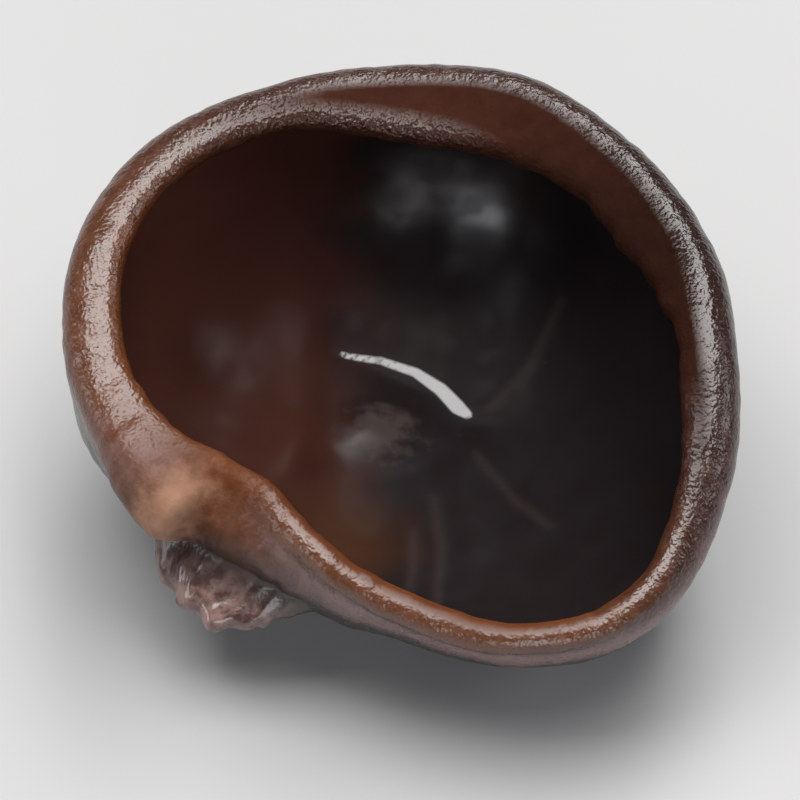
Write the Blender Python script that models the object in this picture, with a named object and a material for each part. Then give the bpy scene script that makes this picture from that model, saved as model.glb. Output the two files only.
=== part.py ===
"""Wood ear mushroom: one soaked, picked ear lying on its rounded back, cup upwards.

The ear grew as one piece, so it is one solid: a thin, jelly-like sheet bent into a deep cup, with a
rounded lip that rolls over and slopes into the cup on all but the near side, a pinch at the near left
where the sheet grew from the wood, and behind the pinch the short root, cut off flat. Units are metres,
+Z is up, and the origin is the middle of the bottom of the box around the ear.

The sheet is laid out on a disc. Share 0 is its middle, at the bottom of the cup, and share 1 is its lip.
Each direction on the disc has its own profile, read from the stations around the rim. What is raised or
sunk on the sheet is placed on the disc pressed flat, where the lip lies FLAT_RADIUS from the middle.
"""

import math

import bpy
import numpy as np

MM = 0.001

# The rim, one station every 22.5 degrees from +X round past +Y. Each row is how far the cup reaches from its
# axis and how high its crest stands, both in millimetres to the middle of the sheet, then the slope of the
# wall and the slope of the lip in degrees, and the share at which the sheet starts to roll over. At 90 the
# sheet runs straight up, at 180 it runs level into the cup, and past that the lip slopes down into it.
RIM_STATIONS = (
    (27.0, 24.3, 84, 212, 0.90),
    (26.7, 25.0, 86, 207, 0.87),
    (27.1, 25.2, 88, 202, 0.87),
    (28.4, 25.3, 88, 200, 0.84),
    (27.7, 25.0, 88, 200, 0.86),
    (27.5, 25.2, 86, 195, 0.90),
    (28.0, 24.8, 84, 191, 0.91),
    (27.6, 23.6, 82, 192, 0.91),
    (26.1, 20.6, 82, 194, 0.90),
    (23.6, 18.7, 82, 181, 0.87),
    (20.5, 17.9, 78, 141, 0.82),
    (19.3, 16.8, 74, 104, 0.81),
    (21.5, 14.9, 70, 79, 0.82),
    (26.3, 13.8, 70, 79, 0.85),
    (29.7, 15.0, 74, 108, 0.90),
    (28.8, 20.0, 80, 164, 0.91),
)
WALL_SHARE = 0.78  # the wall is at its full slope from here out
WALL_BEND = 1.5  # how late the bottom turns up into the wall
ROLL_WIDTH = 0.09  # share of the way to the lip that the roll takes
ROUND_SHARE = 0.60  # inside this share the directions blend into one round bowl
BOTTOM_SHIFT = (0.8 * MM, 5.0 * MM)  # the bottom of the cup lies this far off the axis
PROFILE_STEPS = 96

# Thickness of the sheet
MIDDLE_THICK = 3.0 * MM
WALL_THICK = 2.2 * MM
LIP_THICK = 2.7 * MM
LIP_BEAD_SHARE = 0.035  # how far in from the lip it thickens

FLAT_RADIUS = 42.0 * MM

# The pinch, where the wall is drawn in above the root
PINCH_ANGLE = math.radians(227)
PINCH_WIDTH = math.radians(13)
PINCH_DEPTH = 0.5 * MM
PINCH_SHARES = (0.35, 0.85)

# What is raised on the face in the cup or sunk into it. Each row has a half width in millimetres, how much
# of the rise the back follows, from 0 where the sheet is only thicker to 1 where it is bent, and the places
# along the crest, each with its angle in degrees, its share and its rise in millimetres.
CUP_FORMS = (
    (3.4, 0.0, (
        (225, 0.80, 0.8), (222, 0.68, 2.0), (220, 0.56, 2.8), (206, 0.36, 1.8), (181, 0.24, 1.0),
    )),  # the ridge behind the pinch
    (2.6, 0.2, ((181, 0.24, 1.0), (147, 0.27, 0.9), (122, 0.39, 0.5), (112, 0.56, 0.2))),
    (2.2, 0.0, ((143, 0.095, 1.3), (131, 0.05, 1.2), (105, 0.08, 1.2), (122, 0.115, 1.3))),  # knob
    (1.5, 0.0, ((36, 0.17, 0.2), (338, 0.12, 0.3), (303, 0.28, 0.2))),  # fold round the knob's near side
    (4.5, 0.2, ((155, 0.40, -1.2),)),  # hollow left of the ridge
    (4.0, 0.0, ((250, 0.22, -0.6),)),  # hollow right of the ridge
    (6.5, 0.3, ((60, 0.58, -1.0),)),
    (2.6, 0.3, ((78, 0.48, 0.7), (78, 0.62, 0.3))),
    (6.0, 0.8, ((340, 0.60, -0.7),)),
    (5.0, 0.8, ((185, 0.72, -0.8),)),
)

# Swellings of the back, as in the rows above
BACK_FORMS = (
    (2.9, 0.0, ((200, 0.90, 0.7), (214, 0.87, 2.5))),  # the lip bulging out over the root
    (1.8, 0.0, ((236, 0.74, -1.0), (226, 0.72, -1.2), (213, 0.74, -1.0))),  # crease between lip and root
)

# The root: where it leaves the back, the way its cut faces, and its oval section
ROOT_FOOT = (-14.0 * MM, -13.6 * MM, 9.0 * MM)
ROOT_FACING = (-0.62, -0.72, -0.30)
ROOT_LENGTH = 2.8 * MM
ROOT_HALF_WIDTH = 4.8 * MM
ROOT_HALF_HEIGHT = 1.6 * MM
ROOT_FLARE = 0.80  # how far past its section the root's foot spreads, as a share of it
ROOT_BACKING = 8.0 * MM  # the root takes up no more of the sheet than this behind its foot

# How it settles: its weight presses the rounded back flat, furthest out at three faint folds
SETTLE_DEPTH = 0.8 * MM
SETTLE_FOLDS = 3
SETTLE_TURN = math.radians(90)  # direction of the first fold
SETTLE_LIFT = 0.3 * MM  # how far the back stays off between the folds
SETTLE_MIDDLE = 4.5 * MM  # out to here all of it is flat

GRID_CELLS = 46
LIP_ROWS = 3
ROOT_CROWDING = 0.5  # how far the grid is drawn round towards the root, which has the finest shapes
LIP_CROWDING = 0.40  # how much closer than even the rings lie at the lip, and further apart in the middle
FRAME_STEP = 0.004  # step along share and angle for the sheet's directions
TINY = 1e-12

FLESH_COLOUR = (0.045, 0.021, 0.014, 1.0)
FLESH_ROUGHNESS = 0.28


def clear_scene():
    for thing in list(bpy.data.objects):
        bpy.data.objects.remove(thing, do_unlink=True)


def smooth_step(value):
    """0 up to 0, 1 from 1 on, and an even ease between them."""
    value = np.clip(value, 0, 1)
    return value * value * (3 - 2 * value)


def unit(vectors):
    return vectors / np.linalg.norm(vectors, axis=-1, keepdims=True)


def rim_in(angles):
    """The five values of a station in each direction, on a smooth curve through the stations."""
    stations = np.array(RIM_STATIONS, dtype=float)
    place = np.asarray(angles) / math.tau * len(stations)
    before = np.floor(place).astype(int)
    step = (place - before)[:, None]
    a, b, c, d = (stations[(before + offset) % len(stations)] for offset in (-1, 0, 1, 2))
    return b + 0.5 * step * (c - a + step * (2 * a - 5 * b + 4 * c - d + step * (3 * (b - c) + d - a)))


def slope_at(shares, wall_slope, lip_slope, roll_share):
    """The sheet's slope, in radians, at each share of the way to the lip."""
    wall = wall_slope * np.clip(shares / WALL_SHARE, 0, 1) ** WALL_BEND
    roll = (lip_slope - wall_slope) * smooth_step((shares - roll_share) / ROLL_WIDTH)
    return np.radians(wall + roll)


def profiles(shares, angles):
    """Radius and height at each place, from its direction's profile stretched to its reach and height."""
    mean = np.mean(RIM_STATIONS, axis=0)
    rim = mean + (rim_in(angles) - mean) * smooth_step(shares / ROUND_SHARE)[:, None]
    reach, crest_height = rim[:, 0], rim[:, 1]
    bends = rim[:, 2:].T
    marks = (np.arange(PROFILE_STEPS) + 0.5) / PROFILE_STEPS
    whole = slope_at(marks, *bends[:, :, None])
    widest = np.cumsum(np.cos(whole), axis=1).max(axis=1) / PROFILE_STEPS
    highest = np.cumsum(np.sin(whole), axis=1).max(axis=1) / PROFILE_STEPS
    so_far = slope_at(marks * shares[:, None], *bends[:, :, None])
    radius = shares * np.cos(so_far).mean(axis=1) / widest * reach * MM
    height = shares * np.sin(so_far).mean(axis=1) / highest * crest_height * MM
    return radius, height


def on_flat(angles, shares):
    """Places on the sheet pressed flat."""
    radius = np.asarray(shares) * FLAT_RADIUS
    return np.stack((np.cos(angles) * radius, np.sin(angles) * radius), axis=-1)


def bell(distance, radius):
    return np.exp(-(distance / radius) ** 2)


def rise_of(forms, flat):
    """How far a face stands off the plain sheet at each flat place, and how much the other face follows."""
    total, followed = np.zeros(len(flat)), np.zeros(len(flat))
    for half_width, follow, crest in forms:
        nearest, height = np.full(len(flat), np.inf), np.zeros(len(flat))
        for start, end in zip(crest, crest[1:] or crest):
            start_at, end_at = (on_flat(math.radians(degrees), share) for degrees, share, _ in (start, end))
            along = end_at - start_at
            place = np.clip((flat - start_at) @ along / max(along @ along, TINY), 0, 1)
            away = np.linalg.norm(flat - start_at - place[:, None] * along, axis=1)
            height = np.where(away < nearest, start[2] + (end[2] - start[2]) * place, height)
            nearest = np.minimum(nearest, away)
        rise = height * MM * bell(nearest, half_width * MM)
        total += rise
        followed += rise * follow
    return total, followed


def pinch_depth(shares, angles):
    turned = (angles - PINCH_ANGLE + math.pi) % math.tau - math.pi
    start, full = PINCH_SHARES
    return PINCH_DEPTH * bell(turned, PINCH_WIDTH) * smooth_step((shares - start) / (full - start))


def sheet_points(shares, angles):
    """The middle of the plain sheet's thickness at each place."""
    radius, height = profiles(shares, angles)
    radius = radius - pinch_depth(shares, angles)
    round_axis = np.stack((radius * np.cos(angles), radius * np.sin(angles)), axis=1)
    plan = round_axis + np.array(BOTTOM_SHIFT) * (1 - smooth_step(shares))[:, None]
    return np.column_stack((plan, height))


def sheet_directions(shares, angles):
    """Unit vectors at each place: along the sheet towards the lip, and square to it into the cup."""
    shares = np.maximum(shares, 2 * FRAME_STEP)
    outward = sheet_points(shares + FRAME_STEP, angles) - sheet_points(shares - FRAME_STEP, angles)
    around = sheet_points(shares, angles + FRAME_STEP) - sheet_points(shares, angles - FRAME_STEP)
    inward = unit(np.cross(outward, around))
    return unit(np.cross(around, inward)), inward


def thickness(shares):
    """The plain sheet's thickness at each share of the way to its lip."""
    wall = MIDDLE_THICK + (WALL_THICK - MIDDLE_THICK) * smooth_step(2 * shares)
    return wall + (LIP_THICK - WALL_THICK) * bell(1 - shares, LIP_BEAD_SHARE)


def with_root(points):
    """Points of the back, with those at the root drawn out to the plane of its cut."""
    facing = unit(np.array(ROOT_FACING))
    sideways = unit(np.cross(facing, (0, 0, 1)))
    upwards = np.cross(sideways, facing)
    from_foot = points - np.array(ROOT_FOOT)
    along = from_foot @ facing
    beside = np.hypot(from_foot @ sideways / ROOT_HALF_WIDTH, from_foot @ upwards / ROOT_HALF_HEIGHT)
    drawn = smooth_step((1 + ROOT_FLARE - beside) / ROOT_FLARE) * (along > -ROOT_BACKING)
    return points + facing * ((ROOT_LENGTH - along) * drawn)[:, None]


def settled(back):
    """Points of the back, with the lowest part pressed flat."""
    lowest = back[back[:, 2].argmin()]
    across, along = (back[:, :2] - lowest[:2]).T
    between = (1 - np.cos(SETTLE_FOLDS * (np.arctan2(along, across) - SETTLE_TURN))) / 2
    lift = SETTLE_LIFT * between * smooth_step(np.hypot(across, along) / SETTLE_MIDDLE - 1)
    floor = lowest[2] + SETTLE_DEPTH + lift
    return np.column_stack((back[:, :2], np.maximum(back[:, 2], floor)))


def grid_places():
    """Share and angle of each point of a square grid, with its nested squares opened out into circles."""
    line = np.linspace(-1, 1, GRID_CELLS + 1)
    across, up = (values.ravel() for values in np.meshgrid(line, line))
    rings = np.maximum(np.abs(across), np.abs(up))
    sideways = np.abs(across) > np.abs(up)
    with np.errstate(divide="ignore", invalid="ignore"):
        side_turn = math.pi / 4 * up / across + np.where(across > 0, 0, math.pi)
        upright_turn = math.pi / 2 - math.pi / 4 * across / up + np.where(up > 0, 0, math.pi)
    angles = np.nan_to_num(np.where(sideways, side_turn, upright_turn))
    shares = rings * (1 + LIP_CROWDING * (1 - rings))
    return shares, angles + ROOT_CROWDING * np.sin(PINCH_ANGLE - angles)


def grid_faces():
    """The squares of the grid, and its edge points in order round the rim."""
    row = GRID_CELLS + 1
    numbers = np.arange(row * row).reshape(row, row)
    corners = (numbers[:-1, :-1], numbers[:-1, 1:], numbers[1:, 1:], numbers[1:, :-1])
    rim = np.concatenate((numbers[0, :-1], numbers[:-1, -1], numbers[-1, :0:-1], numbers[:0:-1, 0]))
    return np.stack([corner.ravel() for corner in corners], axis=1), rim


def ear_shape():
    """Points and faces of the whole ear: the face in the cup, the back, and the rounded lip between them."""
    shares, angles = grid_places()
    squares, rim = grid_faces()
    outward, inward = sheet_directions(shares, angles)
    flat = on_flat(angles, shares)
    cup_rise, back_sinks = rise_of(CUP_FORMS, flat)
    back_rise = rise_of(BACK_FORMS, flat)[0] - back_sinks
    half = ((thickness(shares) + cup_rise + back_rise) / 2)[:, None]
    middle = sheet_points(shares, angles) + inward * ((cup_rise - back_rise) / 2)[:, None]
    cup_face = middle + inward * half
    back = settled(with_root(middle - inward * half))

    points = [cup_face, back]
    faces = squares.tolist() + (squares[:, ::-1] + len(middle)).tolist()
    loops = [rim]
    for lip_row in range(1, LIP_ROWS + 1):
        turn = math.pi * lip_row / (LIP_ROWS + 1)
        points.append((middle + (inward * math.cos(turn) + outward * math.sin(turn)) * half)[rim])
        loops.append(2 * len(middle) + (lip_row - 1) * len(rim) + np.arange(len(rim)))
    loops.append(rim + len(middle))
    for upper, lower in zip(loops, loops[1:]):
        faces += np.stack((upper, lower, np.roll(lower, -1), np.roll(upper, -1)), axis=1).tolist()
    return np.concatenate(points), faces


def centred(points):
    """The points with the middle of the bottom of their box at the origin."""
    low, high = points.min(axis=0), points.max(axis=0)
    return points - ((low[0] + high[0]) / 2, (low[1] + high[1]) / 2, low[2])


def flesh_material():
    material = bpy.data.materials.new("ear_flesh")
    material.use_nodes = True
    surface = material.node_tree.nodes["Principled BSDF"]
    surface.inputs["Base Color"].default_value = FLESH_COLOUR
    surface.inputs["Roughness"].default_value = FLESH_ROUGHNESS
    surface.inputs["Metallic"].default_value = 0.0
    return material


def build_ear():
    points, faces = ear_shape()
    mesh = bpy.data.meshes.new("ear")
    mesh.from_pydata(centred(points).tolist(), [], faces)
    mesh.materials.append(flesh_material())
    mesh.shade_smooth()
    ear = bpy.data.objects.new("ear", mesh)
    bpy.context.scene.collection.objects.link(ear)
    return ear


clear_scene()
build_ear()
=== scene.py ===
"""Looks of the wood ear mushroom: the fine skin and wet flesh of the ear, with its floor, lights and camera.

The skin is worked out like the solid that it replaces, from the same values on a finer grid, and then
wrinkles, lumps and the crumpled root are added along its normals. Units are metres, +Z is up.

The sheet is laid out on a disc. Share 0 is its middle, at the bottom of the cup, and share 1 is its lip.
Distances along the sheet are measured on the disc pressed flat, where the lip lies FLAT_RADIUS from the
middle.
"""

import math

import bpy
import numpy as np
from mathutils import Matrix, Vector


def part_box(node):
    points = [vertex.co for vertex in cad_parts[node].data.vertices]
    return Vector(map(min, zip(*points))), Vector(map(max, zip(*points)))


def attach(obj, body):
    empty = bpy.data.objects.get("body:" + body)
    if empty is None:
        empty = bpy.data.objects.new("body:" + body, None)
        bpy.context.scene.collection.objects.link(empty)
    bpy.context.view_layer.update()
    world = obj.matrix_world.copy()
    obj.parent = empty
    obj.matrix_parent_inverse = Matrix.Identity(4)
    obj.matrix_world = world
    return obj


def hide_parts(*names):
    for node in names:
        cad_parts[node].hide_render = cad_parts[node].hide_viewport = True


MM = 0.001

# The rim, one station every 22.5 degrees from +X round past +Y. Each row is how far the cup reaches from its
# axis and how high its crest stands, both in millimetres to the middle of the sheet, then the slope of the
# wall and the slope of the lip in degrees, and the share at which the sheet starts to roll over. At 90 the
# sheet runs straight up, at 180 it runs level into the cup, and past that the lip slopes down into it.
RIM_STATIONS = (
    (27.0, 24.3, 84, 212, 0.90),
    (26.7, 25.0, 86, 207, 0.87),
    (27.1, 25.2, 88, 202, 0.87),
    (28.4, 25.3, 88, 200, 0.84),
    (27.7, 25.0, 88, 200, 0.86),
    (27.5, 25.2, 86, 195, 0.90),
    (28.0, 24.8, 84, 191, 0.91),
    (27.6, 23.6, 82, 192, 0.91),
    (26.1, 20.6, 82, 194, 0.90),
    (23.6, 18.7, 82, 181, 0.87),
    (20.5, 17.9, 78, 141, 0.82),
    (19.3, 16.8, 74, 104, 0.81),
    (21.5, 14.9, 70, 79, 0.82),
    (26.3, 13.8, 70, 79, 0.85),
    (29.7, 15.0, 74, 108, 0.90),
    (28.8, 20.0, 80, 164, 0.91),
)
WALL_SHARE = 0.78  # the wall is at its full slope from here out
WALL_BEND = 1.5  # how late the bottom turns up into the wall
ROLL_WIDTH = 0.09  # share of the way to the lip that the roll takes
ROUND_SHARE = 0.60  # inside this share the directions blend into one round bowl
BOTTOM_SHIFT = (0.8 * MM, 5.0 * MM)  # the bottom of the cup lies this far off the axis
PROFILE_STEPS = 96

# Thickness of the sheet
MIDDLE_THICK = 3.0 * MM
WALL_THICK = 2.2 * MM
LIP_THICK = 2.7 * MM
LIP_BEAD_SHARE = 0.035  # how far in from the lip it thickens

FLAT_RADIUS = 42.0 * MM

# The pinch, where the wall is drawn in above the root
PINCH_ANGLE = math.radians(227)
PINCH_WIDTH = math.radians(13)
PINCH_DEPTH = 0.5 * MM
PINCH_SHARES = (0.35, 0.85)

# What is raised on the face in the cup or sunk into it. Each row has a half width in millimetres, how much
# of the rise the back follows, from 0 where the sheet is only thicker to 1 where it is bent, and the places
# along the crest, each with its angle in degrees, its share and its rise in millimetres.
CUP_FORMS = (
    (3.4, 0.0, (
        (225, 0.80, 0.8), (222, 0.68, 2.0), (220, 0.56, 2.8), (206, 0.36, 1.8), (181, 0.24, 1.0),
    )),  # the ridge behind the pinch
    (2.6, 0.2, ((181, 0.24, 1.0), (147, 0.27, 0.9), (122, 0.39, 0.5), (112, 0.56, 0.2))),
    (2.2, 0.0, ((143, 0.095, 1.3), (131, 0.05, 1.2), (105, 0.08, 1.2), (122, 0.115, 1.3))),  # knob
    (1.5, 0.0, ((36, 0.17, 0.2), (338, 0.12, 0.3), (303, 0.28, 0.2))),  # fold round the knob's near side
    (4.5, 0.2, ((155, 0.40, -1.2),)),  # hollow left of the ridge
    (4.0, 0.0, ((250, 0.22, -0.6),)),  # hollow right of the ridge
    (6.5, 0.3, ((60, 0.58, -1.0),)),
    (2.6, 0.3, ((78, 0.48, 0.7), (78, 0.62, 0.3))),
    (6.0, 0.8, ((340, 0.60, -0.7),)),
    (5.0, 0.8, ((185, 0.72, -0.8),)),
)

# Swellings of the back, as in the rows above
BACK_FORMS = (
    (2.9, 0.0, ((200, 0.90, 0.7), (214, 0.87, 2.5))),  # the lip bulging out over the root
    (1.8, 0.0, ((236, 0.74, -1.0), (226, 0.72, -1.2), (213, 0.74, -1.0))),  # crease between lip and root
)

# The root: where it leaves the back, the way its cut faces, and its oval section
ROOT_FOOT = (-14.0 * MM, -13.6 * MM, 9.0 * MM)
ROOT_FACING = (-0.62, -0.72, -0.30)
ROOT_LENGTH = 2.8 * MM
ROOT_HALF_WIDTH = 4.8 * MM
ROOT_HALF_HEIGHT = 1.6 * MM
ROOT_FLARE = 0.80  # how far past its section the root's foot spreads, as a share of it
ROOT_BACKING = 8.0 * MM  # the root takes up no more of the sheet than this behind its foot
ROOT_DOME = 1.6 * MM  # how far the middle of the cut stands out past its rim
ROOT_DOME_EDGE = 1.2  # where the dome starts, as a multiple of the root's section

# How it settles: its weight presses the rounded back flat, furthest out at three faint folds
SETTLE_DEPTH = 0.8 * MM
SETTLE_FOLDS = 3
SETTLE_TURN = math.radians(90)  # direction of the first fold
SETTLE_LIFT = 0.3 * MM  # how far the back stays off between the folds
SETTLE_MIDDLE = 4.5 * MM  # out to here all of it is flat

# Fine forms that only the skin has, in rows like the others
VEINS = (
    (0.5, 0.0, ((38, 0.23, 0.10), (42, 0.34, 0.12), (48, 0.48, 0.04))),
    (0.4, 0.0, ((5, 0.15, 0.12), (335, 0.25, 0.14), (330, 0.34, 0.04))),
    (0.5, 0.0, ((300, 0.12, 0.05), (288, 0.26, 0.14), (282, 0.40, 0.10), (280, 0.52, 0.04))),
    (0.5, 0.0, ((275, 0.20, 0.05), (274, 0.34, 0.12), (272, 0.46, 0.05))),
)
CREASES = (
    (1.4, 0.0, (
        (117, 0.32, -0.1), (102, 0.245, -0.23), (74, 0.185, -0.32), (40, 0.145, -0.34), (22, 0.205, -0.1),
    )),
    (1.5, 0.0, ((36, 0.17, -0.2),)),
)

# The wet stroke in the crease: places along it, each with its angle, its share and the stroke's half width
# in millimetres
WET_STROKE = (
    (121, 0.33, 0.17), (112, 0.29, 0.26), (100, 0.263, 0.32), (84, 0.23, 0.40), (68, 0.20, 0.55),
    (52, 0.178, 0.66), (43, 0.178, 0.40),
)
WET_EDGE = 0.15  # how many millimetres its edge takes to fade
CALM_WIDTH = 2.0  # the skin is smoother than elsewhere within this many millimetres of the stroke
CALM_SHARE = 0.95  # how much of its lumps the skin loses there

GRID_CELLS = 200
LIP_ROWS = 9
ROOT_CROWDING = 0.4  # how far the grid is drawn round towards the root
LIP_CROWDING = 0.15  # how much closer than even the rings lie at the lip, and further apart in the middle
ROOT_PLACE = (math.radians(223), 0.69)  # where the root leaves the sheet
ROOT_GATHER = 0.8  # how far the back's grid is drawn together there, and within what radius
ROOT_GATHER_RADIUS = 8.0 * MM
GATHER_RELEASE = 8  # how late on the way to the lip the grid is back in its even places
FRAME_STEP = 0.004  # step along share and angle for the sheet's directions
TINY = 1e-12

# Noise on the skin. Each row has its height and the size of its lumps, in millimetres, and its seed.
SKIN_LUMPS = ((0.10, 5.0, 1),)
CUP_LUMPS = ((0.05, 1.8, 2),)
LIP_LUMPS = ((0.12, 2.2, 3), (0.05, 0.8, 4))
BACK_LUMPS = ((0.06, 1.0, 5),)
WRINKLES = ((0.11, 2.0, 9),)
ROOT_LUMPS = ((0.464, 2.2, 6), (0.261, 1.1, 7))
ROOT_FURROWS = ((0.348, 1.7, 8),)
NOISE_CELLS = 48  # lumps of noise repeat after this many
LIP_REACH = 3.0  # the lip's lumps fade out at about this distance from its edge, in millimetres
CLEAR_OF_FLOOR = (0.3, 1.3)  # between these heights, in millimetres, the skin goes from smooth to lumpy
WRINKLE_RADIUS = 22.0 * MM  # the pattern of the wrinkles is laid round the root at this radius
WRINKLE_STRETCH = 0.25  # how fast the pattern changes along the wrinkles, where 1 is as fast as across

# How the lip's edge wanders in and out, in rows like the noise above but with heights as shares of the way
# to the lip
RAGGED_LUMPS = ((0.006, 4.0, 11), (0.0042, 1.6, 12))
RAGGED_START = 0.9  # from this share out
RAGGED_LEAST = 0.5  # this much of it all round, and more in one sector, which is given like the ones below
RAGGED_MOST = (20, 40)
RIM_RADIUS = 27.0 * MM  # for the pattern round the rim

# Sectors of the rim, each with the direction of its middle and how far it reaches to either side, in degrees
SECTORS = {
    "left": (178, 52),
    "pinched": (220, 29),
    "beside_pinch": (203, 14),
    "near": (285, 48),
    # the right of the rim, where the band is darkened as painted shade
    "painted_shade": (22, 50),
    "sparkle": (94, 24),
}

# Spots of the flesh, some with a painted glow as marked, each with its angle in degrees, its share and its
# radius in millimetres
BACK_SPOTS = {
    # the lobe over the root: its paler tan flesh, brightened further as a painted glow of light through it
    "tan_and_glow": (214, 0.885, 4.4),
    "matte": (217, 0.95, 12.5),
}
CUP_SPOTS = {
    # painted glow: the upper left wall near the lip made lighter and redder for light shining through it
    "painted_wall_glow": (140, 0.85, 15.0),
    "knob": (127, 0.08, 4.0),
    "ridge": (238, 0.30, 8.5),
}

# Smoother patches in the cup that shine softly, like the spots but each with how much it shines
SHEEN_PATCHES = (
    (86, 0.64, 3.0, 1.5),
    (71, 0.60, 4.2, 1.15),
    (144, 0.46, 1.7, 1.0),
    (166, 0.41, 1.9, 1.0),
    (162, 0.11, 1.4, 0.3),
)

# Where the other kinds of flesh and the painted sheen fade in, from none at the first value to all at the
# second. Distances are in millimetres, from the edge of the lip or from the middle of the sheet.
CUP_FADE = (-1.0, 1.0)
BAND_FADE = (11.0, 4.0)
PAINTED_SHEEN_FADE = (2.0, 4.5)
SPARKLE_FADE = (3.6, 1.6)
GREY_ACROSS = (-12.0, 2.0)
GREY_ALONG = (-34.0, -18.0)
HOOD_PAST_CREST = (0.7, 1.7)
HOOD_TURN = (90, 50)  # degrees to either side of HOOD_MIDDLE
HOOD_MIDDLE = 50
CUP_BAND = 3.5  # how far the band along the lip reaches into the cup, and how much further at the left
CUP_BAND_LEFT = 3.0
CUP_BAND_FADE = 3.0  # and over how much of that it fades
GLOW_LEFT = 7.0  # how far the painted glow of light through the thin lip reaches from the lip's edge, at the left and at the pinch
GLOW_PINCHED = 10.5
GLOW_NEAR = 1.8  # and at the near side, where it is strongest at the crest
NEAR_CREST = 1.0
# how much of the painted sheen lies beside the pinch
PAINTED_SHEEN_BESIDE_PINCH = 0.4
OFF_STROKE = 9.0  # the back counts as this far from the wet stroke

# Colours of the flesh, with painted glow, sheen, shade and highlight among them as marked, and the pairs of
# colours that it is mottled from
COLOURS = {
    "cup": (0.040, 0.0135, 0.0095, 1),
    "grey": (0.0115, 0.0085, 0.0090, 1),
    # painted glow of light through the thin upper left wall
    "painted_wall_glow": (0.085, 0.028, 0.020, 1),
    "ridge": (0.043, 0.0170, 0.0092, 1),
    # the veins' paler tone, with a painted highlight along them
    "knob": (0.042, 0.031, 0.029, 1),
    "vein_and_highlight": (0.060, 0.046, 0.042, 1),
    # painted sheen: the pale haze of reflected light on the near lip's outer face
    "painted_sheen": (0.170, 0.095, 0.090, 1),
    # the lobe's paler tan flesh, with a painted glow of light through it
    "tan_and_glow": (0.300, 0.165, 0.108, 1),
}
MOTTLED = {
    "back": ((0.014, 0.0095, 0.0090, 1), (0.034, 0.024, 0.022, 1)),
    "band": ((0.030, 0.0095, 0.0055, 1), (0.064, 0.023, 0.014, 1)),
    # painted shade: the band darkened on the right
    "painted_shade": ((0.011, 0.0040, 0.0026, 1), (0.026, 0.0100, 0.0068, 1)),
    # painted glow: light shining through the thin lip, painted as orange flesh
    "painted_lip_glow": ((0.082, 0.023, 0.0070, 1), (0.128, 0.043, 0.016, 1)),
}
ROOT_COLOURS = ((0.065, 0.025, 0.019, 1), (0.230, 0.135, 0.115, 1))
ROOT_MOTTLE = (0.35, 0.65)  # the part of the noise between the root's two colours
# how strongly the veins' paler tone and painted highlight show
VEIN_STRENGTH = 0.22

# How noise breaks up the edges of the masks: how far it shifts them, and the values between which the
# colour comes in
BROKEN_EDGES = {
    "grey": (1.2, 0.1, 0.9),
    "ridge": (0.6, 0.2, 1.0),
    "knob": (1.6, 0.3, 1.0),
    "band": (0.5, 0.1, 0.9),
    "painted_lip_glow": (0.6, 0.15, 1.0),
    "painted_sheen": (0.6, 0.1, 0.9),
    "tan_and_glow": (0.9, 0.15, 1.25),
}

# Sizes of the noise in the flesh, and heights of its finest relief in millimetres
MOTTLE_SIZE = 1.5 * MM
BLOTCH_SIZE = 6 * MM
SATIN_SIZE = 4 * MM
GRAIN_SIZE = 0.30 * MM
BEAD_SIZE = 0.42 * MM
GRAIN_HEIGHT = 0.045
BEAD_HEIGHT = 0.105
SPARKLE_BEADS = 0.20  # how much higher the beads are where the lip sparkles
SMOOTH_CUP = 0.9  # how much of the relief is missing in the cup

# Roughness: values of the noise, the roughness that they give, and what each mask adds outside the cup
CUP_ROUGHNESS = (0.4, 0.62, 0.34, 0.48)
OUTER_ROUGHNESS = (0.2, 0.8, 0.20, 0.32)
ROUGHER = {"matte": 0.25, "hood": 0.10, "sparkle": -0.12, "painted_shade": -0.07}

# How strongly the flesh reflects, and what each mask adds to it
CUP_SHINE = 0.045
OUTER_SHINE = 0.80
DULLER = {"matte": -0.76, "hood": -0.92}
SHINE_LOSS_IN_SHADE = {"painted_shade": -0.15}  # shine lost where the band's shade is painted, as a share of the rest
SPARKLE_SHINE = {"sparkle": 0.60}
SHEEN_SHINE = {"sheen": 0.75}
ROOT_WETNESS = 0.5  # how much water coats the root

# Values of the flesh that are the same all over
FLESH_VALUES = {
    "Coat Roughness": 0.12,
    "Coat IOR": 1.75,
    "IOR": 1.5,
    "Subsurface Weight": 0.35,
    "Subsurface Radius": (1.0, 0.40, 0.20),
    "Subsurface Scale": 1.2 * MM,
}

# Camera, floor and light
VIEW_ELEVATION = math.radians(50)
VIEW_DISTANCE = 0.80
FRAME_FILL = 0.84  # share of the picture's width that the ear takes up
SENSOR = 36.0
FLOOR_REACH = 4.0
FLOOR_COLOUR = (0.42, 0.42, 0.42, 1)
FLOOR_ROUGHNESS = 0.65
AMBIENT = (0.08, 0.082, 0.087, 1)
BACKDROP = (0.80, 0.80, 0.81, 1)

# Softboxes. Each has its place, its width from left to right and its length, in metres, then its radiance
# and its colour.
SOFTBOXES = {
    "overhead": ((0.24, 0.32, 1.0), 0.42, 1.64, 6.5, (1.0, 0.99, 0.98)),
    "middle": ((-0.28, 0.09, 1.0), 0.66, 0.64, 6.5, (1.0, 0.99, 0.98)),
    "front": ((0.10, -0.90, 0.25), 0.60, 0.30, 4.0, (0.95, 0.96, 1.0)),
    "right": ((0.95, 0.0, 0.55), 0.35, 0.50, 3.0, (0.95, 0.96, 1.0)),
    "left": ((-0.90, -0.25, 0.30), 0.25, 0.70, 4.0, (0.95, 0.96, 1.0)),
}


# Shape of the sheet

def smooth_step(value):
    """0 up to 0, 1 from 1 on, and an even ease between them."""
    value = np.clip(value, 0, 1)
    return value * value * (3 - 2 * value)


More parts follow.
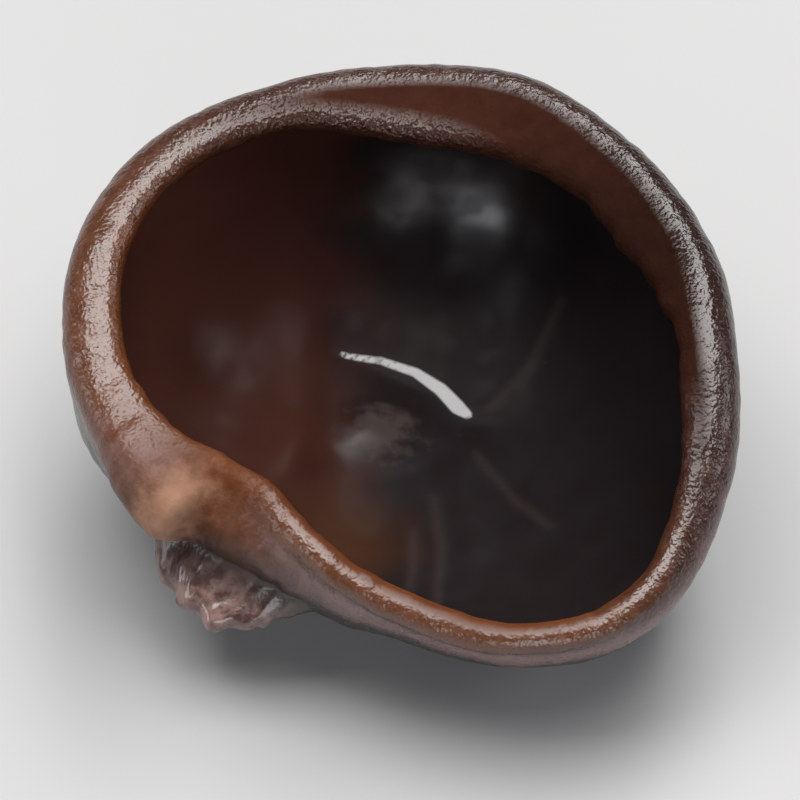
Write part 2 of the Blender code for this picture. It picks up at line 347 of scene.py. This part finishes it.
def fading(value, none, full):
    """0 at the first of the two values, 1 at the second, and an even ease between them."""
    return smooth_step((value - none) / (full - none))


def unit(vectors):
    return vectors / np.linalg.norm(vectors, axis=-1, keepdims=True)


def rim_in(angles):
    """The five values of a station in each direction, on a smooth curve through the stations."""
    stations = np.array(RIM_STATIONS, dtype=float)
    place = np.asarray(angles) / math.tau * len(stations)
    before = np.floor(place).astype(int)
    step = (place - before)[:, None]
    a, b, c, d = (stations[(before + offset) % len(stations)] for offset in (-1, 0, 1, 2))
    return b + 0.5 * step * (c - a + step * (2 * a - 5 * b + 4 * c - d + step * (3 * (b - c) + d - a)))


def slope_at(shares, wall_slope, lip_slope, roll_share):
    """The sheet's slope, in radians, at each share of the way to the lip."""
    wall = wall_slope * np.clip(shares / WALL_SHARE, 0, 1) ** WALL_BEND
    roll = (lip_slope - wall_slope) * smooth_step((shares - roll_share) / ROLL_WIDTH)
    return np.radians(wall + roll)


def profiles(shares, angles):
    """Radius and height at each place, from its direction's profile stretched to its reach and height."""
    mean = np.mean(RIM_STATIONS, axis=0)
    rim = mean + (rim_in(angles) - mean) * smooth_step(shares / ROUND_SHARE)[:, None]
    reach, crest_height = rim[:, 0], rim[:, 1]
    bends = rim[:, 2:].T
    marks = (np.arange(PROFILE_STEPS) + 0.5) / PROFILE_STEPS
    whole = slope_at(marks, *bends[:, :, None])
    widest = np.cumsum(np.cos(whole), axis=1).max(axis=1) / PROFILE_STEPS
    highest = np.cumsum(np.sin(whole), axis=1).max(axis=1) / PROFILE_STEPS
    so_far = slope_at(marks * shares[:, None], *bends[:, :, None])
    radius = shares * np.cos(so_far).mean(axis=1) / widest * reach * MM
    height = shares * np.sin(so_far).mean(axis=1) / highest * crest_height * MM
    return radius, height


def on_flat(angles, shares):
    """Places on the sheet pressed flat."""
    radius = np.asarray(shares) * FLAT_RADIUS
    return np.stack((np.cos(angles) * radius, np.sin(angles) * radius), axis=-1)


def bell(distance, radius):
    return np.exp(-(distance / radius) ** 2)


def nearest_on(line, flat):
    """How far each flat place is from a line, in millimetres, and the line's value where it is nearest."""
    nearest, value = np.full(len(flat), np.inf), np.zeros(len(flat))
    for start, end in zip(line, line[1:] or line):
        start_at, end_at = (on_flat(math.radians(degrees), share) for degrees, share, _ in (start, end))
        along = end_at - start_at
        place = np.clip((flat - start_at) @ along / max(along @ along, TINY), 0, 1)
        away = np.linalg.norm(flat - start_at - place[:, None] * along, axis=1) / MM
        value = np.where(away < nearest, start[2] + (end[2] - start[2]) * place, value)
        nearest = np.minimum(nearest, away)
    return nearest, value


def rise_of(forms, flat):
    """How far a face stands off the plain sheet at each flat place, and how much the other face follows."""
    total, followed = np.zeros(len(flat)), np.zeros(len(flat))
    for half_width, follow, crest in forms:
        away, height = nearest_on(crest, flat)
        rise = height * MM * bell(away, half_width)
        total += rise
        followed += rise * follow
    return total, followed


def pinch_depth(shares, angles):
    turned = (angles - PINCH_ANGLE + math.pi) % math.tau - math.pi
    start, full = PINCH_SHARES
    return PINCH_DEPTH * bell(turned, PINCH_WIDTH) * smooth_step((shares - start) / (full - start))


def sheet_points(shares, angles):
    """The middle of the plain sheet's thickness at each place."""
    radius, height = profiles(shares, angles)
    radius = radius - pinch_depth(shares, angles)
    round_axis = np.stack((radius * np.cos(angles), radius * np.sin(angles)), axis=1)
    plan = round_axis + np.array(BOTTOM_SHIFT) * (1 - smooth_step(shares))[:, None]
    return np.column_stack((plan, height))


def sheet_directions(shares, angles):
    """Unit vectors at each place: along the sheet towards the lip, and square to it into the cup."""
    shares = np.maximum(shares, 2 * FRAME_STEP)
    outward = sheet_points(shares + FRAME_STEP, angles) - sheet_points(shares - FRAME_STEP, angles)
    around = sheet_points(shares, angles + FRAME_STEP) - sheet_points(shares, angles - FRAME_STEP)
    inward = unit(np.cross(outward, around))
    return unit(np.cross(around, inward)), inward


def thickness(shares):
    """The plain sheet's thickness at each share of the way to its lip."""
    wall = MIDDLE_THICK + (WALL_THICK - MIDDLE_THICK) * smooth_step(2 * shares)
    return wall + (LIP_THICK - WALL_THICK) * bell(1 - shares, LIP_BEAD_SHARE)


def with_root(points):
    """Points of the back with those at the root drawn out to its domed cut, and how far each is drawn."""
    facing = unit(np.array(ROOT_FACING))
    sideways = unit(np.cross(facing, (0, 0, 1)))
    upwards = np.cross(sideways, facing)
    from_foot = points - np.array(ROOT_FOOT)
    along = from_foot @ facing
    beside = np.hypot(from_foot @ sideways / ROOT_HALF_WIDTH, from_foot @ upwards / ROOT_HALF_HEIGHT)
    drawn = smooth_step((1 + ROOT_FLARE - beside) / ROOT_FLARE) * (along > -ROOT_BACKING)
    cut = ROOT_LENGTH + ROOT_DOME * smooth_step(ROOT_DOME_EDGE - beside)
    return points + facing * ((cut - along) * drawn)[:, None], drawn


def settled(back):
    """Points of the back, with the lowest part pressed flat."""
    lowest = back[back[:, 2].argmin()]
    across, along = (back[:, :2] - lowest[:2]).T
    between = (1 - np.cos(SETTLE_FOLDS * (np.arctan2(along, across) - SETTLE_TURN))) / 2
    lift = SETTLE_LIFT * between * smooth_step(np.hypot(across, along) / SETTLE_MIDDLE - 1)
    floor = lowest[2] + SETTLE_DEPTH + lift
    return np.column_stack((back[:, :2], np.maximum(back[:, 2], floor)))


def grid_places():
    """Share and angle of each point of a square grid, with its nested squares opened out into circles."""
    line = np.linspace(-1, 1, GRID_CELLS + 1)
    across, up = (values.ravel() for values in np.meshgrid(line, line))
    rings = np.maximum(np.abs(across), np.abs(up))
    sideways = np.abs(across) > np.abs(up)
    with np.errstate(divide="ignore", invalid="ignore"):
        side_turn = math.pi / 4 * up / across + np.where(across > 0, 0, math.pi)
        upright_turn = math.pi / 2 - math.pi / 4 * across / up + np.where(up > 0, 0, math.pi)
    angles = np.nan_to_num(np.where(sideways, side_turn, upright_turn))
    shares = rings * (1 + LIP_CROWDING * (1 - rings))
    return shares, angles + ROOT_CROWDING * np.sin(PINCH_ANGLE - angles)


def gathered_at_root(shares, angles):
    """The same places, drawn together where the root is, and unchanged at the lip."""
    flat = on_flat(angles, shares)
    centre = on_flat(*ROOT_PLACE)
    closeness = bell(np.linalg.norm(flat - centre, axis=1), ROOT_GATHER_RADIUS)
    flat += (centre - flat) * (ROOT_GATHER * closeness * (1 - shares ** GATHER_RELEASE))[:, None]
    return np.linalg.norm(flat, axis=1) / FLAT_RADIUS, np.arctan2(flat[:, 1], flat[:, 0])


def grid_faces():
    """The squares of the grid, and its edge points in order round the rim."""
    row = GRID_CELLS + 1
    numbers = np.arange(row * row).reshape(row, row)
    corners = (numbers[:-1, :-1], numbers[:-1, 1:], numbers[1:, 1:], numbers[1:, :-1])
    rim = np.concatenate((numbers[0, :-1], numbers[:-1, -1], numbers[-1, :0:-1], numbers[:0:-1, 0]))
    return np.stack([corner.ravel() for corner in corners], axis=1), rim


def both_faces(shares, angles):
    """Points of both faces at these places of the sheet, how far the root draws those of the back, half the
    thickness there, and the sheet's middle and directions."""
    outward, inward = sheet_directions(shares, angles)
    flat = on_flat(angles, shares)
    cup_rise, back_sinks = rise_of(CUP_FORMS + CREASES + VEINS, flat)
    back_rise = rise_of(BACK_FORMS, flat)[0] - back_sinks
    half = (thickness(shares) + cup_rise + back_rise) / 2
    middle = sheet_points(shares, angles) + inward * ((cup_rise - back_rise) / 2)[:, None]
    back, drawn = with_root(middle - inward * half[:, None])
    return middle + inward * half[:, None], settled(back), drawn, half, middle, outward, inward


def plain_skin():
    """The smooth skin: its points, its faces, and for each point its share, its angle, how far it lies into
    the cup from the edge of the lip, below 0 on the back, and how far the root draws it out."""
    shares, angles = grid_places()
    squares, rim = grid_faces()
    shares = shares + ragged(angles) * fading(shares, RAGGED_START, 1)
    back_shares, back_angles = gathered_at_root(shares, angles)
    cup_face, _, _, half, middle, outward, inward = both_faces(shares, angles)
    _, back_face, drawn, back_half, *_ = both_faces(back_shares, back_angles)

    count = len(shares)
    points = [cup_face, back_face]
    faces = squares.tolist() + (squares[:, ::-1] + count).tolist()
    places = [
        (shares, angles, (1 - shares) * FLAT_RADIUS + half * math.pi / 2, np.zeros(count)),
        (back_shares, back_angles, (back_shares - 1) * FLAT_RADIUS - back_half * math.pi / 2, drawn),
    ]
    loops = [rim]
    for lip_row in range(1, LIP_ROWS + 1):
        turn = math.pi * lip_row / (LIP_ROWS + 1)
        around = inward[rim] * math.cos(turn) + outward[rim] * math.sin(turn)
        points.append(middle[rim] + around * half[rim][:, None])
        places.append((shares[rim], angles[rim], half[rim] * (math.pi / 2 - turn), np.zeros(len(rim))))
        loops.append(2 * count + (lip_row - 1) * len(rim) + np.arange(len(rim)))
    loops.append(rim + count)
    for upper, lower in zip(loops, loops[1:]):
        faces += np.stack((upper, lower, np.roll(lower, -1), np.roll(upper, -1)), axis=1).tolist()
    return np.concatenate(points), faces, [np.concatenate(values) for values in zip(*places)]


# Fine relief

def lumps(places, size, seed):
    """Smooth noise from -1 to 1 at each place, with lumps of about this size."""
    table = np.random.default_rng(seed).uniform(-1, 1, (NOISE_CELLS,) * 3)
    spots = places / size
    cell = np.floor(spots).astype(int)
    step = smooth_step(spots - cell)
    total = np.zeros(len(places))
    for corner in np.ndindex(2, 2, 2):
        weight = np.where(corner, step, 1 - step).prod(axis=1)
        total += weight * table[tuple(((cell + corner) % NOISE_CELLS).T)]
    return total


def lumpy(places, rows):
    """The sum of several rows of noise at each place."""
    return sum(height * lumps(places, size * MM, seed) for height, size, seed in rows)


def turned_from(angles, degrees):
    """How far each direction is turned from this one, in degrees, from -180 to 180."""
    return (np.degrees(angles) - degrees + 180) % 360 - 180


def in_sector(angles, middle, reach):
    """1 in the middle of a sector and fading out to either side."""
    return bell(turned_from(angles, middle), reach)


def ragged(angles):
    """How far the lip's edge wanders in or out in each direction, as a share of the way to it."""
    round_rim = np.stack((np.cos(angles), np.sin(angles), np.zeros(len(angles))), axis=1) * RIM_RADIUS
    return lumpy(round_rim, RAGGED_LUMPS) * (RAGGED_LEAST + in_sector(angles, *RAGGED_MOST))


def wrinkles(flat):
    """Noise stretched along the ways that lead from the root, and fading out at the root."""
    away = flat - on_flat(*ROOT_PLACE)
    distance = np.linalg.norm(away, axis=1)[:, None]
    around = away / np.maximum(distance, TINY) * WRINKLE_RADIUS
    fade = smooth_step(distance[:, 0] / ROOT_GATHER_RADIUS)
    return lumpy(np.hstack((around, distance * WRINKLE_STRETCH)), WRINKLES) * fade


def mesh_normals(mesh):
    normals = np.zeros(len(mesh.vertices) * 3, dtype=np.float32)
    mesh.vertex_normals.foreach_get("vector", normals)
    return normals.reshape(-1, 3).astype(float)


def on_cup_face(into_cup):
    """1 on the face in the cup, 0 on the back, and a fade over the edge of the lip."""
    return fading(into_cup / MM, *CUP_FADE)


def fine_relief(points, shares, angles, into_cup, drawn):
    """How far each point stands off the smooth skin, along its normal."""
    flat = on_flat(angles, shares)
    inside = on_cup_face(into_cup)
    calm = 1 - CALM_SHARE * bell(nearest_on(WET_STROKE, flat)[0], CALM_WIDTH)
    relief = (lumpy(points, SKIN_LUMPS) + inside * lumpy(points, CUP_LUMPS)) * calm
    relief += bell(into_cup / MM, LIP_REACH) * lumpy(points, LIP_LUMPS)
    relief += (1 - inside) * (lumpy(points, BACK_LUMPS) + wrinkles(flat))
    crumple = lumpy(points, ROOT_LUMPS) - np.abs(lumpy(points, ROOT_FURROWS))
    relief += smooth_step(2 * drawn) * crumple
    return relief * MM * fading(points[:, 2] / MM, *CLEAR_OF_FLOOR)


def near_place(flat, degrees, share, radius):
    """1 at a place of the sheet and fading out round it, at about this radius in millimetres."""
    return bell(np.linalg.norm(flat - on_flat(math.radians(degrees), share), axis=1), radius * MM)


def lip_masks(shares, angles, into_cup):
    """Where each kind of flesh along the lip lies, by name, and its painted glow, sheen and shade."""
    inside = on_cup_face(into_cup)
    outside = 1 - inside
    from_lip = np.abs(into_cup) / MM
    sector = {name: in_sector(angles, *values) for name, values in SECTORS.items()}
    cup_reach = CUP_BAND + CUP_BAND_LEFT * sector["left"]
    cup_band = fading(from_lip, cup_reach, cup_reach - CUP_BAND_FADE)
    band = fading(from_lip, *BAND_FADE) * outside + cup_band * inside
    # painted glow of light through the thin lip, at the left, at the pinch and at the near side
    painted_lip_glow = sector["left"] * band * bell(from_lip, GLOW_LEFT)
    painted_lip_glow += sector["pinched"] * bell(from_lip, GLOW_PINCHED)
    painted_lip_glow += sector["near"] * bell(from_lip - NEAR_CREST, GLOW_NEAR)
    # painted sheen: the pale haze of reflected light on the outer face below the near lip's crest
    painted_sheen = sector["near"] + PAINTED_SHEEN_BESIDE_PINCH * sector["beside_pinch"]
    past_crest = (shares - rim_in(angles)[:, 4] - ROLL_WIDTH / 2) * FLAT_RADIUS / MM
    hood = fading(np.abs(turned_from(angles, HOOD_MIDDLE)), *HOOD_TURN)
    hood *= fading(past_crest, *HOOD_PAST_CREST)
    return {
        "band": band,
        "painted_lip_glow": np.clip(painted_lip_glow, 0, 1),
        "painted_sheen": painted_sheen * band * fading(from_lip, *PAINTED_SHEEN_FADE) * outside,
        # the right of the rim, where the band's shade is painted
        "painted_shade": sector["painted_shade"] * outside,
        "hood": hood * outside,
        "sparkle": sector["sparkle"] * fading(from_lip, *SPARKLE_FADE) * outside,
    }


def mask_attributes(shares, angles, into_cup, drawn):
    """Where each kind of flesh lies, by name, and where glow, sheen, shade and highlight are painted: from 0
    to 1, or more in the brightest sheen. The wet stroke's mask is in millimetres, and above 0 in the stroke."""
    flat = on_flat(angles, shares)
    across, along = flat.T / MM
    inside = on_cup_face(into_cup)
    masks = lip_masks(shares, angles, into_cup)
    masks |= {name: near_place(flat, *spot) * (1 - inside) for name, spot in BACK_SPOTS.items()}
    masks |= {name: near_place(flat, *spot) * inside for name, spot in CUP_SPOTS.items()}
    from_stroke, stroke_width = nearest_on(WET_STROKE, flat)
    return masks | {
        "inside": inside,
        "grey": fading(across, *GREY_ACROSS) * fading(along, *GREY_ALONG),
        "vein_and_highlight": sum(bell(nearest_on(line, flat)[0], width) for width, _, line in VEINS) * inside,
        "wet": stroke_width - from_stroke - OFF_STROKE * (1 - inside),
        "sheen": sum(near_place(flat, *patch) * shine for *patch, shine in SHEEN_PATCHES) * inside,
        "root": drawn,
    }


def ear_skin():
    points, faces, places = plain_skin()
    low, high = points.min(axis=0), points.max(axis=0)
    box_low, box_high = (np.array(corner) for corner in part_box("ear"))
    points = points + (box_low + box_high - low - high) / 2 * (1, 1, 0) + (box_low - low) * (0, 0, 1)
    mesh = bpy.data.meshes.new("ear_skin")
    mesh.from_pydata(points.tolist(), [], faces)
    relief = fine_relief(points, *places)
    points = points + mesh_normals(mesh) * relief[:, None]
    mesh.vertices.foreach_set("co", points.ravel())
    masks = mask_attributes(*places)
    for name, values in masks.items():
        mesh.attributes.new(name, "FLOAT", "POINT").data.foreach_set("value", values)
    mesh.materials.append(flesh_material(masks))
    mesh.shade_smooth()
    mesh.update()
    skin = bpy.data.objects.new("ear_skin", mesh)
    bpy.context.scene.collection.objects.link(skin)
    return skin


# Materials

def fill(tree, socket, value):
    """Links an input to another node's output, or sets it to a plain value."""
    if isinstance(value, bpy.types.NodeSocket):
        tree.links.new(value, socket)
    else:
        socket.default_value = value


def node(tree, kind, inputs=(), **settings):
    """A new node with these settings, and its inputs, given by name or by number, filled."""
    made = tree.nodes.new(kind)
    for name, value in settings.items():
        setattr(made, name, value)
    for key, value in dict(inputs).items():
        fill(tree, made.inputs[key], value)
    return made


def attribute(tree, name):
    return node(tree, "ShaderNodeAttribute", attribute_name=name).outputs["Fac"]


def mix(tree, share, first, second):
    """A colour between the first and the second, which are the node's inputs 6 and 7."""
    inputs = {0: share, 6: first, 7: second}
    return node(tree, "ShaderNodeMix", inputs, data_type="RGBA").outputs[2]


def by_face(tree, masks, outer, inner):
    """One value outside the cup and another in it, which are the node's inputs 2 and 3."""
    inputs = {0: masks["inside"], 2: outer, 3: inner}
    return node(tree, "ShaderNodeMix", inputs).outputs[0]


def math_node(tree, operation, *values):
    return node(tree, "ShaderNodeMath", enumerate(values), operation=operation).outputs[0]


def product(tree, value, *others):
    for other in others:
        value = math_node(tree, "MULTIPLY", value, other)
    return value


def added(tree, value, masks, amounts):
    """A value with an amount added where each of these masks is."""
    for name, amount in amounts.items():
        value = math_node(tree, "MULTIPLY_ADD", masks[name], amount, value)
    return value


def noise(tree, place, size, detail=2.0, roughness=0.5):
    """Noise from 0 to 1 with features of about this size."""
    made = node(tree, "ShaderNodeTexNoise", {
        "Vector": place, "Scale": 1 / size, "Detail": detail, "Roughness": roughness,
    })
    return made.outputs[0]


def eased(tree, value, low, high, out_low=0.0, out_high=1.0):
    made = node(tree, "ShaderNodeMapRange", {
        "Value": value, "From Min": low, "From Max": high, "To Min": out_low, "To Max": out_high,
    }, interpolation_type="SMOOTHSTEP")
    return made.outputs[0]


def broken_up(tree, masks, name, noise_value):
    """A mask with its edge broken up by noise."""
    strength, low, high = BROKEN_EDGES[name]
    shift = math_node(tree, "SUBTRACT", noise_value, 0.5)
    return eased(tree, math_node(tree, "MULTIPLY_ADD", shift, strength, masks[name]), low, high)


def cup_colour(tree, masks, place, mottle):
    """The colours of the face in the cup, laid one over the other, with a painted glow on the upper left
    wall and a painted highlight along the veins.
    """
    blotches = noise(tree, place, BLOTCH_SIZE, detail=3.0)
    colour = mix(tree, broken_up(tree, masks, "grey", blotches), COLOURS["cup"], COLOURS["grey"])
    # the painted glow of light through the thin upper left wall
    colour = mix(tree, masks["painted_wall_glow"], colour, COLOURS["painted_wall_glow"])
    colour = mix(tree, broken_up(tree, masks, "ridge", blotches), colour, COLOURS["ridge"])
    colour = mix(tree, broken_up(tree, masks, "knob", mottle), colour, COLOURS["knob"])
    # the veins' paler tone and painted highlight
    return mix(tree, product(tree, masks["vein_and_highlight"], VEIN_STRENGTH), colour, COLOURS["vein_and_highlight"])


def flesh_colour(tree, masks, place, mottle):
    """The colours of both faces, with those of the lip and the root over them, the lip's painted shade, glow
    and sheen and the lobe's painted glow among them.
    """
    mottled = {name: mix(tree, mottle, *pair) for name, pair in MOTTLED.items()}
    colour = mix(tree, masks["inside"], mottled["back"], cup_colour(tree, masks, place, mottle))
    layers = {
        # the band, darkened on the right as painted shade
        "band": mix(tree, masks["painted_shade"], mottled["band"], mottled["painted_shade"]),
        # the painted glow of light through the thin lip
        "painted_lip_glow": mottled["painted_lip_glow"],
        # the painted sheen below the near lip's crest
        "painted_sheen": COLOURS["painted_sheen"],
        # the lobe's tan, with its painted glow
        "tan_and_glow": COLOURS["tan_and_glow"],
    }
    for name, layer in layers.items():
        colour = mix(tree, broken_up(tree, masks, name, mottle), colour, layer)
    root = mix(tree, eased(tree, mottle, *ROOT_MOTTLE), *ROOT_COLOURS)
    return mix(tree, masks["root"], colour, root)


def flesh_roughness(tree, masks, place, mottle):
    inner = eased(tree, noise(tree, place, SATIN_SIZE), *CUP_ROUGHNESS)
    outer = added(tree, eased(tree, mottle, *OUTER_ROUGHNESS), masks, ROUGHER)
    return by_face(tree, masks, outer, inner)


def flesh_shine(tree, masks):
    inner = added(tree, CUP_SHINE, masks, SHEEN_SHINE)
    outer = product(tree, added(tree, OUTER_SHINE, masks, DULLER), added(tree, 1.0, masks, SHINE_LOSS_IN_SHADE))
    return by_face(tree, masks, added(tree, outer, masks, SPARKLE_SHINE), inner)


def wet_film(tree, masks):
    """How much of a coat of water there is: all in the wet stroke, and some on the root."""
    stroke = eased(tree, masks["wet"], -WET_EDGE, WET_EDGE)
    return math_node(tree, "MAXIMUM", stroke, product(tree, masks["root"], ROOT_WETNESS))


def flesh_relief(tree, masks, place):
    """Height of the finest relief in millimetres: grain outside the cup, and beads along the lip."""
    grain = noise(tree, place, GRAIN_SIZE, roughness=0.6)
    beads = noise(tree, place, BEAD_SIZE, detail=1.0)
    outside = added(tree, 1.0, masks, {"inside": -SMOOTH_CUP})
    beside_lobe = added(tree, 1.0, masks, {"tan_and_glow": -1.0})
    bead_height = added(tree, BEAD_HEIGHT, masks, {"sparkle": SPARKLE_BEADS})
    bead_share = product(tree, masks["band"], outside, beside_lobe, bead_height)
    return math_node(tree, "MULTIPLY_ADD", beads, bead_share, product(tree, grain, outside, GRAIN_HEIGHT))


def flesh_material(mask_names):
    material = bpy.data.materials.new("wet_flesh")
    material.use_nodes = True
    tree = material.node_tree
    surface = tree.nodes["Principled BSDF"]
    place = node(tree, "ShaderNodeTexCoord").outputs["Object"]
    masks = {name: attribute(tree, name) for name in mask_names}
    mottle = noise(tree, place, MOTTLE_SIZE, detail=4.0, roughness=0.6)
    bump = node(tree, "ShaderNodeBump", {
        "Strength": 1.0, "Distance": MM, "Height": flesh_relief(tree, masks, place),
    })
    looks = FLESH_VALUES | {
        "Base Color": flesh_colour(tree, masks, place, mottle),
        "Roughness": flesh_roughness(tree, masks, place, mottle),
        "Specular IOR Level": flesh_shine(tree, masks),
        "Coat Weight": wet_film(tree, masks),
        "Normal": bump.outputs[0],
    }
    for name, value in looks.items():
        fill(tree, surface.inputs[name], value)
    return material


def floor_material():
    material = bpy.data.materials.new("pale_floor")
    material.use_nodes = True
    surface = material.node_tree.nodes["Principled BSDF"]
    surface.inputs["Base Color"].default_value = FLOOR_COLOUR
    surface.inputs["Roughness"].default_value = FLOOR_ROUGHNESS
    return material


# Floor, light and camera

def add_floor():
    mesh = bpy.data.meshes.new("floor")
    signs = ((-1, -1), (1, -1), (1, 1), (-1, 1))
    corners = [(across * FLOOR_REACH, along * FLOOR_REACH, 0) for across, along in signs]
    mesh.from_pydata(corners, [], [(0, 1, 2, 3)])
    mesh.materials.append(floor_material())
    floor = bpy.data.objects.new("floor", mesh)
    bpy.context.scene.collection.objects.link(floor)


def add_softbox(name, place, width, length, radiance, colour):
    """A softbox that faces the ear, with its length as near as it can be to the Y axis."""
    light = bpy.data.lights.new(name, "AREA")
    light.shape = "RECTANGLE"
    light.size, light.size_y = width, length
    light.energy = radiance * math.pi * width * length
    light.color = colour
    away = Vector(place).normalized()
    across = Vector((0, 1, 0)).cross(away).normalized()
    lamp = bpy.data.objects.new(name, light)
    lamp.location = place
    lamp.rotation_euler = Matrix((across, away.cross(across), away)).transposed().to_euler()
    bpy.context.scene.collection.objects.link(lamp)


def add_lights():
    for name, values in SOFTBOXES.items():
        add_softbox(name, *values)
    world = bpy.data.worlds.new("studio")
    world.use_nodes = True
    tree = world.node_tree
    seen = node(tree, "ShaderNodeLightPath").outputs["Is Camera Ray"]
    colour = mix(tree, seen, AMBIENT, BACKDROP)
    tree.links.new(colour, tree.nodes["Background"].inputs["Color"])
    bpy.context.scene.world = world


def add_camera(low, high):
    """A long lens at the photograph's angle, with the ear filling the picture."""
    middle = (Vector(low) + Vector(high)) / 2
    away = Vector((0, -math.cos(VIEW_ELEVATION), math.sin(VIEW_ELEVATION)))
    camera_data = bpy.data.cameras.new("camera")
    camera_data.sensor_width = SENSOR
    camera_data.lens = SENSOR * VIEW_DISTANCE * FRAME_FILL / (high[0] - low[0])
    camera = bpy.data.objects.new("camera", camera_data)
    camera.location = middle + away * VIEW_DISTANCE
    camera.rotation_euler = (-away).to_track_quat("-Z", "Y").to_euler()
    bpy.context.scene.collection.objects.link(camera)
    bpy.context.scene.camera = camera


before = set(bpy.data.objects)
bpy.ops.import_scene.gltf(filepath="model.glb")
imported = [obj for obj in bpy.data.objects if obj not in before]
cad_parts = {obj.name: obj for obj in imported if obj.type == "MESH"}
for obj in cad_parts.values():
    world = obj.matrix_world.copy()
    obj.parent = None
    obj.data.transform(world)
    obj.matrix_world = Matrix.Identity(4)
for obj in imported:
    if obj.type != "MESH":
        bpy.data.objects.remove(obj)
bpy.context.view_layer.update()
skin = ear_skin()
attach(skin, "root")
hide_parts("ear")
add_floor()
add_lights()
add_camera(*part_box("ear"))
bpy.context.scene.view_settings.view_transform = "Standard"
